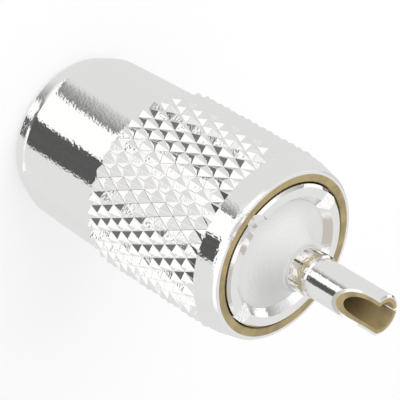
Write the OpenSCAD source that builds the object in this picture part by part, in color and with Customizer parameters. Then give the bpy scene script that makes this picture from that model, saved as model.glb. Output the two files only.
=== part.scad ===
// Cable plug of the UHF pattern: a tubular body with a hollow centre pin in a white
// insulator, inside a long coupling ring with a diamond knurl.
// The plug stands on its cable end. +Z runs along its axis to the tip of the pin.

/* [Plug body] */
// Length from the cable end to the contact rim
body_len = 29.9; // [28:0.1:34]
// Length of the threaded collar that keeps the ring on the body
collar_len = 3.5; // [2.5:0.1:5]
// Wall of the barrel round the cable jacket
jacket_wall = 1.95; // [1.2:0.05:2.4]
// Depth of the jacket bore
cable_bore_len = 8.5; // [6:0.1:10]
// Step from the jacket bore in to the braid bore
braid_step = 0.9; // [0.5:0.1:1.2]
// Diameter of the solder holes
solder_hole_d = 3.2; // [2.4:0.1:3.6]
// Number of solder holes
solder_holes = 4; // [2:1:6]
// Wall of the front sleeve round the insulator
sleeve_wall = 1.75; // [1.2:0.05:2.2]
// Width of the flat land on the contact rim
rim_land_w = 1.15; // [0.8:0.05:1.4]
// Width of a V notch at the top of the rim
notch_w = 1.8; // [1:0.1:2.4]
// Number of V notches round the rim
notches = 4; // [2:1:8]

/* [Coupling ring] */
// How far the contact rim stands in front of the ring
rim_proud = 0.25; // [0:0.05:0.5]
// Height of the ring's rear edge above the body's cable end
ring_lift = 0.4; // [0.3:0.1:1.5]
// How far the ring can slide forward on the body
ring_travel = 9.5; // [7:0.1:9.6]
// Major diameter of the coupling thread
thread_d = 15.94; // [15.92:0.01:16]
// Depth of the coupling thread
thread_depth = 0.55; // [0.5:0.01:0.6]
// Length of the coupling thread
thread_len = 10.5; // [9:0.1:11]
// Chamfer at the mouth
mouth_chamfer = 0.08; // [0.05:0.01:0.2]
// Wall from the relief behind the thread to the bottom of the knurl grooves
ring_wall = 0.83; // [0.6:0.01:1.2]
// Depth of the knurl grooves
knurl_depth = 0.45; // [0.3:0.05:0.6]
// Length of the knurled band
knurl_len = 14.5; // [12:0.1:15.5]
// Knurl grooves of each hand round the ring
knurl_starts = 40; // [30:1:60]
// Rows of half diamonds along the knurl
knurl_rows = 10; // [6:2:16]
// Length of the smooth band in front of the knurl
front_band_len = 2.3; // [1.6:0.1:3.2]
// Drop from the points of the knurl to the smooth front band
band_drop = 0.25; // [0.1:0.05:0.4]
// Drop from the points of the knurl to the front edge
lip_drop = 0.7; // [0.5:0.05:0.9]
// Drop from the points of the knurl to the rear skirt beside it
skirt_drop = 0.6; // [0.5:0.05:0.8]
// Drop from the points of the knurl to the skirt's end taper
skirt_end_drop = 0.8; // [0.6:0.05:1]
// Drop from the points of the knurl to the rear edge
tail_drop = 1.5; // [1.2:0.05:1.6]
// Length of the end taper
tail_len = 1.9; // [1:0.1:3]

/* [Insulator] */
// Depth of its face below the contact rim
face_depth = 0.7; // [0.3:0.1:1.5]
// Length of its wide part
insulator_len = 9.2; // [6:0.1:9.6]
// Length of its rear spigot
spigot_len = 3; // [2:0.1:4]
// Height of the boss round the pin, above the face
boss_h = 2.8; // [1.5:0.1:4]
// Wall of the boss at its top
boss_wall = 0.33; // [0.25:0.01:0.8]

/* [Centre pin] */
// Diameter of the contact part
pin_d = 3.96; // [3.9:0.02:4.02]
// Diameter of the shank in the insulator
shank_d = 4.32; // [4.3:0.02:4.5]
// How far the pin stands in front of the contact rim
pin_reach = 12; // [10:0.1:14]
// Length of the shank in front of the boss
shank_proud = 2.2; // [1:0.1:3]
// Bore for the cable's centre wire
wire_bore_d = 2.7; // [2.4:0.1:2.9]
// Diameter of the solder cup at the rear of the pin
cup_d = 5.8; // [5.2:0.1:6.4]
// Length of the solder cup
cup_len = 6.5; // [4:0.1:6.8]
// Length of the opening milled into the tip
tip_opening_len = 4.4; // [3:0.1:5]
// Turn of the opening about the axis, in degrees
tip_opening_turn = -52; // [-180:1:180]
// Width of the saw cut in the tip
tip_slot_w = 0.4; // [0.3:0.1:0.8]
// Depth of the saw cut
tip_slot_len = 1.3; // [0.5:0.1:2.5]

/* [Fits] */
// Radial gap between the barrel and the crests of the coupling thread
barrel_gap = 0.17; // [0.1:0.01:0.25]
// Radial gap between the collar and the roots of the coupling thread
collar_gap = 0.07; // [0.04:0.01:0.15]
// Radial running clearance between ring and barrel
running_gap = 0.1; // [0.04:0.01:0.1]
// Radial clearance of parts pressed together
seat_gap = 0.01; // [0.005:0.005:0.02]
// Axial gap between the ring's thread and the collar
end_gap = 0.3; // [0.2:0.05:0.5]

/* [Hidden] */
$fn = 96;
over = 1;

ring_front = body_len - rim_proud;
ring_len = ring_front - ring_lift;
thread_rear = ring_front - thread_len;
collar_top = thread_rear - end_gap;
collar_bottom = collar_top - collar_len;
lip_top = collar_bottom - ring_travel;

relief_step = 0.15;
thread_r = thread_d / 2;
crest_r = thread_r - thread_depth;
relief_r = thread_r + relief_step;
barrel_r = crest_r - barrel_gap;
collar_r = thread_r - collar_gap;
ring_bore_r = barrel_r + running_gap;
jacket_r = barrel_r - jacket_wall;
braid_r = jacket_r - braid_step;
seat_r = barrel_r - sleeve_wall;

face_z = body_len - face_depth;
seat_z = face_z - insulator_len;
spigot_z = seat_z - spigot_len;
solder_hole_z = (cable_bore_len + collar_bottom) / 2;
notch_turn = -10;

boss_z = face_z + boss_h;
shank_bore_r = shank_d / 2 + seat_gap;
cup_bore_r = cup_d / 2 + seat_gap;
boss_r = shank_bore_r + boss_wall;
cup_proud = 0.5;
cup_top = spigot_z + cup_len - cup_proud;
tip_z = body_len + pin_reach;

knurl_root_r = relief_r + ring_wall;
knurl_r = knurl_root_r + knurl_depth;
knurl_end = ring_front - front_band_len;
knurl_start = knurl_end - knurl_len;
knurl_step = knurl_len / knurl_rows;
knurl_sides = 2 * knurl_starts;
core_r = knurl_root_r - 0.3;
sleeve_r = core_r - 0.2;
shoulder = 0.6;
band_r = knurl_r - band_drop;
crest_proud = 0.05;
lip_r = knurl_r - lip_drop;
skirt_r = knurl_r - skirt_drop;
skirt_end_r = knurl_r - skirt_end_drop;
tail_r = knurl_r - tail_drop;

// Contact rim, barrel, collar and bores, turned from one bar
module plug_body() {
    chamfer = 0.4;
    rim_edge = 0.25;
    color("silver")
    difference() {
        rotate_extrude()
        polygon([
            [jacket_r + chamfer, 0],
            [barrel_r - chamfer, 0],
            [barrel_r, chamfer],
            [barrel_r, collar_bottom],
            [collar_r - chamfer, collar_bottom],
            [collar_r, collar_bottom + chamfer],
            [collar_r, collar_top - chamfer],
            [collar_r - chamfer, collar_top],
            [barrel_r, collar_top],
            [barrel_r, body_len - rim_edge],
            [barrel_r - rim_edge, body_len],
            [barrel_r - rim_land_w, body_len],
            [seat_r, face_z],
            [seat_r, seat_z],
            [braid_r, seat_z],
            [braid_r, cable_bore_len + braid_step],
            [jacket_r, cable_bore_len],
            [jacket_r, chamfer]
        ]);
        for (i = [0 : solder_holes - 1])
            rotate([0, 0, 45 + i * 360 / solder_holes])
            translate([braid_r - over, 0, solder_hole_z])
            rotate([0, 90, 0])
            cylinder(h = barrel_r - braid_r + 2 * over, d = solder_hole_d, $fn = 48);
        for (i = [0 : notches - 1])
            rotate([0, 0, notch_turn + i * 360 / notches])
            rim_notch();
    }
}

// One square-bottomed V across the rim, pointing outwards
module rim_notch() {
    side = notch_w / sqrt(2);
    translate([seat_r - over, 0, body_len])
    rotate([45, 0, 0])
    translate([0, -side / 2, -side / 2])
    cube([sleeve_wall + 2 * over, side, side]);
}

// Stepped white insulator with a trumpet boss that carries the pin
module insulator() {
    boss_steps = 8;
    outer_r = seat_r - seat_gap;
    spigot_r = braid_r - seat_gap;
    boss_spread = 0.74;
    foot_r = boss_r + boss_spread * (outer_r - boss_r);
    color("whitesmoke")
    rotate_extrude()
    polygon(concat(
        [
            [cup_bore_r, spigot_z],
            [spigot_r, spigot_z],
            [spigot_r, seat_z],
            [outer_r, seat_z],
            [outer_r, face_z]
        ],
        [
            for (i = [0 : boss_steps])
            let (a = 90 * i / boss_steps)
            [foot_r - (foot_r - boss_r) * sin(a), face_z + boss_h * (1 - cos(a))]
        ],
        [
            [shank_bore_r, boss_z],
            [shank_bore_r, cup_top],
            [cup_bore_r, cup_top]
        ]
    ));
}

// Hollow pin: solder cup, shank, contact and a tip milled open on one side.
// The seam of its turned surfaces is kept clear of the opening.
module center_pin() {
    wire_r = wire_bore_d / 2;
    funnel = 0.8;
    edge = 0.15;
    seam_turn = 15;
    cup_bottom = cup_top - cup_len;
    shank_end = boss_z + shank_proud;
    mill_floor = 0.65;
    mill_back = 0.9;
    mill_run = tip_opening_len - mill_back;
    mill_rise = pin_d / 2 - mill_floor;
    mill_r = (mill_run * mill_run + mill_rise * mill_rise) / (2 * mill_rise);
    color("silver")
    difference() {
        rotate([0, 0, seam_turn])
        rotate_extrude()
        polygon([
            [wire_r + funnel, cup_bottom],
            [cup_d / 2, cup_bottom],
            [cup_d / 2, cup_top],
            [shank_d / 2, cup_top],
            [shank_d / 2, shank_end - edge],
            [pin_d / 2, shank_end],
            [pin_d / 2, tip_z - edge],
            [pin_d / 2 - edge, tip_z],
            [wire_r, tip_z],
            [wire_r, cup_bottom + funnel]
        ]);
        rotate([0, 0, tip_opening_turn]) {
            translate([mill_floor + mill_r, pin_d, tip_z - mill_back])
            rotate([90, 0, 0])
            cylinder(h = 2 * pin_d, r = mill_r, $fn = 128);
            translate([mill_floor, -pin_d, tip_z - mill_back])
            cube([pin_d, 2 * pin_d, mill_back + over]);
            translate([-pin_d, -tip_slot_w / 2, tip_z - tip_slot_len])
            cube([pin_d, tip_slot_w, tip_slot_len + over]);
        }
    }
}

// Turned ring, with its thread bored to the crests. The relief behind it clears the collar.
module coupling_ring() {
    color("silver")
    union() {
        ring_turning();
        knurl();
    }
}

module ring_turning() {
    lip_edge = 0.3;
    band_lap = 0.08;
    skirt_steps = 6;
    skirt_len = knurl_start - ring_lift - tail_len;
    rotate_extrude()
    polygon(concat(
        [
            [ring_bore_r, ring_lift + lip_edge],
            [ring_bore_r + lip_edge, ring_lift],
            [tail_r, ring_lift]
        ],
        [
            for (i = [0 : skirt_steps])
            let (t = i / skirt_steps)
            [
                skirt_r + (skirt_end_r - skirt_r) * (1 - t) * (1 - t),
                ring_lift + tail_len + skirt_len * t
            ]
        ],
        [
            [core_r, knurl_start],
            [core_r, knurl_end - band_lap],
            [band_r, knurl_end - band_lap],
            [lip_r, ring_front - lip_edge],
            [lip_r - 0.2, ring_front],
            [crest_r + mouth_chamfer, ring_front],
            [crest_r, ring_front - mouth_chamfer],
            [crest_r, thread_rear],
            [relief_r, thread_rear],
            [relief_r, lip_top],
            [ring_bore_r, lip_top - (relief_r - ring_bore_r)]
        ]
    ));
}

// Radius of one knurl point: grooves cross where i and j add up to an even number
function knurl_radius(i, j) = (i + j) % 2 == 0 ? knurl_root_r : knurl_crest(j);

// The last row of points is turned down to the smooth band
function knurl_crest(j) = j == knurl_rows ? band_r + crest_proud : knurl_r;

// One closed loop of points at height z
function knurl_loop(radii, z) = [
    for (i = [0 : knurl_sides - 1])
    let (a = 360 * i / knurl_sides)
    [radii[i] * cos(a), radii[i] * sin(a), z]
];

// Pyramids between two crossing sets of helical grooves, as one closed sleeve
module knurl() {
    plain = [for (i = [0 : knurl_sides - 1]) sleeve_r];
    foot = [for (i = [0 : knurl_sides - 1]) core_r];
    rows = [
        for (j = [0 : knurl_rows])
        knurl_loop(
            [for (i = [0 : knurl_sides - 1]) knurl_radius(i, j)],
            knurl_start + j * knurl_step
        )
    ];
    loops = concat(
        [knurl_loop(plain, knurl_start + shoulder)],
        [knurl_loop(foot, knurl_start - shoulder)],
        rows,
        [knurl_loop(foot, knurl_end + shoulder)],
        [knurl_loop(plain, knurl_end - shoulder)]
    );
    count = len(loops);
    polyhedron(
        points = [for (loop = loops) each loop],
        faces = [
            for (k = [0 : count - 1])
            for (i = [0 : knurl_sides - 1])
            let (
                i2 = (i + 1) % knurl_sides,
                k2 = (k + 1) % count,
                a = k * knurl_sides + i,
                b = k * knurl_sides + i2,
                c = k2 * knurl_sides + i2,
                d = k2 * knurl_sides + i,
                rising = (i + k) % 2 == 0
            )
            each rising ? [[a, d, c], [a, c, b]] : [[a, d, b], [b, d, c]]
        ]
    );
}

plug_body();
insulator();
center_pin();
coupling_ring();
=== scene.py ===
import math

import bpy
from mathutils import Matrix, Vector

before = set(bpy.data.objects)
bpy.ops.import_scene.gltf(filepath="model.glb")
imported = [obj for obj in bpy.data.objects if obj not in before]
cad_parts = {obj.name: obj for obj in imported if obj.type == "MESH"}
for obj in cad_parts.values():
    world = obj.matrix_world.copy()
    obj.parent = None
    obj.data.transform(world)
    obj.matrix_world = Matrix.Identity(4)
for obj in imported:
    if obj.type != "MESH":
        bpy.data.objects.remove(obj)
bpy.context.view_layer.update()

MM = 0.001

# The photographed plug lay on its side. These are its studio's directions in the row frame.
STUDIO_UP = (-0.838, -0.545, 0.0)
STUDIO_LEFT = (0.387, -0.593, -0.706)
STUDIO_RIGHT = (-0.387, 0.593, 0.706)
STUDIO_FRONT = (0.387, -0.593, 0.706)
TO_CAMERA = (0.0, -0.792, 0.610)
# What the far side of the dish inside the rim reflects.
ACROSS = (0.775, 0.025, 0.631)

# Levels of grey in the studio, and the colour of the spot that the dish reflects.
WHITE = 1.0
PALE = 0.74
SWEEP = 0.72
BESIDE_CAMERA = 0.55
GAP = 0.18
SPECK = 0.14
DARK = 0.08
WARM_GREY = (0.54, 0.51, 0.47, 1.0)

# The studio's walls from floor to ceiling, as (sine of the height above its horizon, level).
LOW_WALL = [(-1.0, PALE), (-0.61, PALE), (-0.58, WHITE)]
CEILING = [(0.60, WHITE), (0.62, GAP), (0.78, SWEEP), (1.0, SWEEP)]
LEFT_WALL = [(-1.0, PALE), (-0.26, PALE), (-0.22, DARK), (0.20, DARK), (0.22, WHITE)] + CEILING
BACK_WALL = LOW_WALL + [(-0.14, WHITE), (-0.10, 0.16), (0.32, GAP), (0.37, WHITE)] + CEILING
TAIL_WALL = (
    LOW_WALL
    + [(-0.53, WHITE), (-0.50, PALE), (-0.30, PALE), (-0.27, DARK), (-0.09, DARK)]
    + [(-0.07, WHITE), (0.10, WHITE), (0.12, GAP), (0.24, 0.7), (0.37, WHITE)]
    + CEILING
)
RIGHT_WALL = [
    (-1.0, PALE), (-0.32, PALE), (-0.26, 0.1), (0.1, 0.1), (0.14, WHITE),
    (0.48, WHITE), (0.52, 0.35), (0.8, SWEEP), (1.0, SWEEP),
]

# A reflected direction's share along a studio direction: where that part of the room starts to
# show, and where it shows fully.
FRONT_SHARE = (0.15, 0.4)
LEFT_SHARE = (0.5, 0.62)
RIGHT_SHARE = (0.62, 0.74)
CAMERA_SHARE = (0.90, 0.97)
ACROSS_SHARE = (0.84, 0.94)

# Half the width of the fade where two walls meet.
SHARP_FADE = 0.012
SOFT_FADE = 0.03

# The left wall's specks: the scale of their noise, and its levels where a speck starts and is whole.
SPECK_SCALE = 70.0
SPECK_NOISE = (0.45, 0.7)

# Strength of the light that the metal mirrors, and of the plain light on everything.
MIRRORED_STRENGTH = 1.06
PLAIN_STRENGTH = 0.8

SILVER = (0.955, 0.95, 0.94, 1.0)
PLATE_ROUGHNESS = 0.06
PIN_ROUGHNESS = 0.1
BRASS = (0.50, 0.395, 0.195, 1.0)
# Darker brass is painted reflection: it stands in for the uneven sheen of turned brass.
DARK_REFLECTION_BRASS = (0.38, 0.295, 0.15, 1.0)
BRASS_METALLIC = 0.3
BRASS_ROUGHNESS = 0.5
DIELECTRIC = (0.75, 0.75, 0.74, 1.0)
DIELECTRIC_ROUGHNESS = 0.45

# Feature and depth of each surface's unevenness, and the size of the brass's patches of painted
# darker reflection, in millimetres.
PLATE_GRAIN = (0.22, 0.0075)
DIELECTRIC_GRAIN = (0.4, 0.004)
REFLECTION_MOTTLE = 1.6
# The levels of the patches' noise where the brass's painted darker reflection starts and where it is
# whole.
REFLECTION_MOTTLE_NOISE = (0.35, 0.65)

# Bare brass lies inside these radii and above these heights, in millimetres.
RING_BARE_R = 8.2
RING_BARE_FROM = 19.0
PIN_BARE_R = 1.72
PIN_BARE_FROM = 36.0
# The ring's front band is shaded from this height as if it leaned out by this slope.
BAND_LEAN = (27.3, 0.06)


def turned(angle):
    """The direction that is zero on a studio line, this many degrees forward of straight left."""
    front, left = math.cos(math.radians(angle)), -math.sin(math.radians(angle))
    return tuple(front * f + left * l for f, l in zip(STUDIO_FRONT, STUDIO_LEFT))


TAIL_EDGE = turned(-35.0)
BACK_EDGE = turned(-18.0)
FRONT_EDGE = turned(30.5)


def add_node(tree, kind, inputs=(), **settings):
    """One shader node, with its settings and with its inputs as values or as sockets."""
    node = tree.nodes.new(kind)
    for name, value in settings.items():
        setattr(node, name, value)
    for key, value in dict(inputs).items():
        if isinstance(value, bpy.types.NodeSocket):
            tree.links.new(value, node.inputs[key])
        else:
            node.inputs[key].default_value = value
    return node


def math_node(tree, operation, first, second):
    return add_node(tree, "ShaderNodeMath", {0: first, 1: second}, operation=operation).outputs[0]


def dot(tree, vector, direction):
    """How far a unit vector points along a direction."""
    return add_node(
        tree, "ShaderNodeVectorMath", {0: vector, 1: direction}, operation="DOT_PRODUCT"
    ).outputs["Value"]


def soft_step(tree, value, start, end):
    """0 below start, 1 above end, with a smooth rise between them."""
    return add_node(
        tree,
        "ShaderNodeMapRange",
        {"Value": value, "From Min": start, "From Max": end},
        interpolation_type="SMOOTHSTEP",
    ).outputs["Result"]


def facing(tree, vector, direction, start, end):
    """0 where a unit vector's share along a direction is below start, 1 where it is above end."""
    return soft_step(tree, dot(tree, vector, direction), start, end)


def grey(level):
    return (level, level, level, 1.0)


def grey_ramp(tree, value, stops):
    """Levels of grey over a value from -1 to 1."""
    share = add_node(
        tree, "ShaderNodeMapRange", {"Value": value, "From Min": -1.0, "From Max": 1.0}
    )
    colours = add_node(tree, "ShaderNodeValToRGB", {"Fac": share.outputs["Result"]})
    elements = colours.color_ramp.elements
    while len(elements) < len(stops):
        elements.new(0.5)
    for element, (height, level) in zip(elements, stops):
        element.position = height / 2 + 0.5
        element.color = grey(level)
    return colours.outputs["Color"]


def mix_colour(tree, factor, first, second, blend="MIX"):
    """The first colour where the factor is 0. Where it is 1, the second is blended into it."""
    mix = add_node(tree, "ShaderNodeMix", data_type="RGBA", blend_type=blend)
    colour_sockets = [s for s in mix.inputs if s.type == "RGBA"]
    tree.links.new(factor, mix.inputs["Factor"])
    for socket, value in zip(colour_sockets, (first, second)):
        if isinstance(value, bpy.types.NodeSocket):
            tree.links.new(value, socket)
        else:
            socket.default_value = value
    return next(s for s in mix.outputs if s.type == "RGBA")


def mix_shader(tree, factor, first, second):
    """The first node's shader where the factor is 0 and the second's where it is 1."""
    shaders = {0: factor, 1: first.outputs[0], 2: second.outputs[0]}
    return add_node(tree, "ShaderNodeMixShader", shaders)


def studio_walls(tree):
    """What the metal reflects: a pale sweep, a white front and walls with dark gaps at both sides."""
    direction = add_node(tree, "ShaderNodeTexCoord").outputs["Generated"]
    height = dot(tree, direction, STUDIO_UP)

    in_front = facing(tree, direction, STUDIO_FRONT, *FRONT_SHARE)
    room = mix_colour(tree, in_front, grey(SWEEP), grey(WHITE))

    # The left wall, from its tail end to its front end.
    tail = grey_ramp(tree, height, TAIL_WALL)
    past_tail = facing(tree, direction, TAIL_EDGE, -SHARP_FADE, SHARP_FADE)
    left = mix_colour(tree, past_tail, tail, grey_ramp(tree, height, BACK_WALL))
    past_back = facing(tree, direction, BACK_EDGE, -SOFT_FADE, SOFT_FADE)
    left = mix_colour(tree, past_back, left, grey_ramp(tree, height, LEFT_WALL))
    past_front = facing(tree, direction, FRONT_EDGE, -SHARP_FADE, SHARP_FADE)
    left = mix_colour(tree, past_front, left, grey(WHITE))
    weave = add_node(tree, "ShaderNodeTexNoise", {"Vector": direction, "Scale": SPECK_SCALE})
    specks = soft_step(tree, weave.outputs["Fac"], *SPECK_NOISE)
    left = mix_colour(tree, specks, left, grey(SPECK), blend="LIGHTEN")
    room = mix_colour(tree, facing(tree, direction, STUDIO_LEFT, *LEFT_SHARE), room, left)

    right = grey_ramp(tree, height, RIGHT_WALL)
    room = mix_colour(tree, facing(tree, direction, STUDIO_RIGHT, *RIGHT_SHARE), room, right)

    beside_camera = facing(tree, direction, TO_CAMERA, *CAMERA_SHARE)
    room = mix_colour(tree, beside_camera, room, grey(BESIDE_CAMERA))
    return mix_colour(tree, facing(tree, direction, ACROSS, *ACROSS_SHARE), room, WARM_GREY)


def make_world():
    """Plain light from all round, a white background, and the studio's walls in reflections."""
    world = bpy.data.worlds.new("studio")
    world.use_nodes = True
    bpy.context.scene.world = world
    tree = world.node_tree
    tree.nodes.clear()
    walls = studio_walls(tree)
    seen = add_node(tree, "ShaderNodeBackground", {"Color": grey(WHITE), "Strength": 1.0})
    mirrored = add_node(
        tree, "ShaderNodeBackground", {"Color": walls, "Strength": MIRRORED_STRENGTH}
    )
    plain = add_node(
        tree, "ShaderNodeBackground", {"Color": grey(WHITE), "Strength": PLAIN_STRENGTH}
    )
    path = add_node(tree, "ShaderNodeLightPath")
    lit = mix_shader(tree, path.outputs["Is Glossy Ray"], plain, mirrored)
    shown = mix_shader(tree, path.outputs["Is Camera Ray"], lit, seen)
    add_node(tree, "ShaderNodeOutputWorld", {"Surface": shown.outputs[0]})


def make_floor():
    """A white floor with a faint shadow. Reflections pass it, so the metal shows the studio."""
    unshaded_share = 0.6
    bpy.ops.mesh.primitive_plane_add(size=2.0, location=(0, 0, 0))
    floor = bpy.context.object
    floor.name = "floor"
    material = bpy.data.materials.new("white_floor")
    material.use_nodes = True
    tree = material.node_tree
    tree.nodes.clear()
    paper = add_node(tree, "ShaderNodeBsdfDiffuse", {"Color": grey(WHITE)})
    unshaded = add_node(tree, "ShaderNodeEmission", {"Color": grey(WHITE), "Strength": 1.0})
    clear = add_node(tree, "ShaderNodeBsdfTransparent")
    path = add_node(tree, "ShaderNodeLightPath")
    share = math_node(tree, "MULTIPLY", path.outputs["Is Camera Ray"], unshaded_share)
    white = mix_shader(tree, share, paper, unshaded)
    surface = mix_shader(tree, path.outputs["Is Glossy Ray"], white, clear)
    add_node(tree, "ShaderNodeOutputMaterial", {"Surface": surface.outputs[0]})
    floor.data.materials.append(material)


def make_key_light():
    """One broad soft lamp. It lights the insulator and casts the floor's shadow."""
    target = Vector((0, 0, 0.02))
    light = bpy.data.lights.new("key", "AREA")
    light.size = 0.3
    light.energy = 0.55
    lamp = bpy.data.objects.new("key", light)
    bpy.context.scene.collection.objects.link(lamp)
    lamp.location = (-0.22, -0.15, 0.28)
    aim = target - lamp.location
    lamp.rotation_euler = aim.to_track_quat("-Z", "Y").to_euler()
    lamp.visible_glossy = False
    lamp.visible_camera = False


def make_camera():
    """Stands where the photograph was taken from, as far as its ellipses tell."""
    place = Vector((-0.42, -150.21, 133.70)) * MM
    right = Vector((-0.5165, 0.5226, 0.6783))
    up = Vector((-0.8563, -0.3152, -0.4092))
    back = right.cross(up)
    camera = bpy.data.cameras.new("camera")
    camera.lens = 180
    camera.sensor_width = 36
    camera.clip_start = 0.01
    holder = bpy.data.objects.new("camera", camera)
    bpy.context.scene.collection.objects.link(holder)
    turn = Matrix((right, up, back)).transposed().to_4x4()
    holder.matrix_world = Matrix.Translation(place) @ turn
    bpy.context.scene.camera = holder


def object_coordinates(tree):
    """A point's place on its own piece, in metres."""
    return add_node(tree, "ShaderNodeTexCoord").outputs["Object"]


def axis_distance(tree):
    """Distance from the plug's axis, in metres."""
    flat = add_node(
        tree,
        "ShaderNodeVectorMath",
        {0: object_coordinates(tree), 1: (1.0, 1.0, 0.0)},
        operation="MULTIPLY",
    )
    length = add_node(tree, "ShaderNodeVectorMath", {0: flat.outputs[0]}, operation="LENGTH")
    return length.outputs["Value"]


def axis_height(tree):
    """Height above the cable end, in metres."""
    return add_node(tree, "ShaderNodeSeparateXYZ", {0: object_coordinates(tree)}).outputs["Z"]


def fine_bump(tree, shader, grain, lean=None):
    """Small unevenness of a surface: grain is its feature and depth in millimetres.

    lean is (height in millimetres, slope): above that height the surface leans out by that slope.
    """
    feature, depth = grain
    noise = add_node(
        tree,
        "ShaderNodeTexNoise",
        {"Vector": object_coordinates(tree), "Scale": 1 / (feature * MM), "Detail": 0.0},
    )
    height = math_node(tree, "MULTIPLY", noise.outputs["Fac"], depth * MM)
    if lean:
        start, slope = lean
        rise = math_node(tree, "MAXIMUM", axis_height(tree), start * MM)
        height = math_node(tree, "ADD", height, math_node(tree, "MULTIPLY", rise, slope))
    bump = add_node(tree, "ShaderNodeBump", {"Height": height, "Distance": 1.0, "Strength": 1.0})
    tree.links.new(bump.outputs["Normal"], shader.inputs["Normal"])


def new_material(name):
    material = bpy.data.materials.new(name)
    material.use_nodes = True
    tree = material.node_tree
    return material, tree, tree.nodes["Principled BSDF"]


def plated(name):
    """Bright silver plate over the whole of a piece."""
    material, tree, shader = new_material(name)
    shader.inputs["Base Color"].default_value = SILVER
    shader.inputs["Metallic"].default_value = 1.0
    shader.inputs["Roughness"].default_value = PLATE_ROUGHNESS
    fine_bump(tree, shader, PLATE_GRAIN)
    return material


def part_plated(name, bare_radius, bare_from, roughness=PLATE_ROUGHNESS, lean=None):
    """Silver plate, with bare brass inside a radius and above a height, both in millimetres."""
    material, tree, shader = new_material(name)
    inside = math_node(tree, "LESS_THAN", axis_distance(tree), bare_radius * MM)
    above = math_node(tree, "GREATER_THAN", axis_height(tree), bare_from * MM)
    bare = math_node(tree, "MULTIPLY", inside, above)
    # Random patches of darker brass are painted reflection, standing in for the uneven sheen of
    # turned brass.
    reflection_mottle = add_node(
        tree,
        "ShaderNodeTexNoise",
        {"Vector": object_coordinates(tree), "Scale": 1 / (REFLECTION_MOTTLE * MM)},
    )
    darker_reflection = soft_step(tree, reflection_mottle.outputs["Fac"], *REFLECTION_MOTTLE_NOISE)
    colour = mix_colour(tree, bare, SILVER, mix_colour(tree, darker_reflection, BRASS, DARK_REFLECTION_BRASS))
    tree.links.new(colour, shader.inputs["Base Color"])
    for socket, plate_value, brass_value in (
        ("Metallic", 1.0, BRASS_METALLIC),
        ("Roughness", roughness, BRASS_ROUGHNESS),
    ):
        level = add_node(
            tree, "ShaderNodeMapRange", {"Value": bare, "To Min": plate_value, "To Max": brass_value}
        )
        tree.links.new(level.outputs["Result"], shader.inputs[socket])
    fine_bump(tree, shader, PLATE_GRAIN, lean)
    return material


def white_dielectric():
    material, tree, shader = new_material("white_dielectric")
    shader.inputs["Base Color"].default_value = DIELECTRIC
    shader.inputs["Roughness"].default_value = DIELECTRIC_ROUGHNESS
    fine_bump(tree, shader, DIELECTRIC_GRAIN)
    return material


def dress(node, material):
    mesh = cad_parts[node].data
    mesh.materials.clear()
    mesh.materials.append(material)


def bevel_ring():
    """A narrow bevel on the ring's edges. The facets stay flat, with bright lines between them."""
    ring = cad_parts["coupling_ring"]
    weld = ring.modifiers.new("weld", "WELD")
    weld.merge_threshold = 0.002 * MM
    bevel = ring.modifiers.new("bevel", "BEVEL")
    bevel.limit_method = "ANGLE"
    bevel.angle_limit = math.radians(14)
    bevel.width = 0.08 * MM
    bevel.segments = 1
    facets = ring.modifiers.new("facets", "EDGE_SPLIT")
    facets.split_angle = math.radians(12)


make_world()
make_floor()
make_key_light()
make_camera()
bpy.context.scene.view_settings.view_transform = "Standard"

dress("plug_body", plated("silver_plate"))
dress("coupling_ring", part_plated("ring_plate", RING_BARE_R, RING_BARE_FROM, lean=BAND_LEAN))
dress("center_pin", part_plated("pin_plate", PIN_BARE_R, PIN_BARE_FROM, roughness=PIN_ROUGHNESS))
dress("insulator", white_dielectric())
bevel_ring()
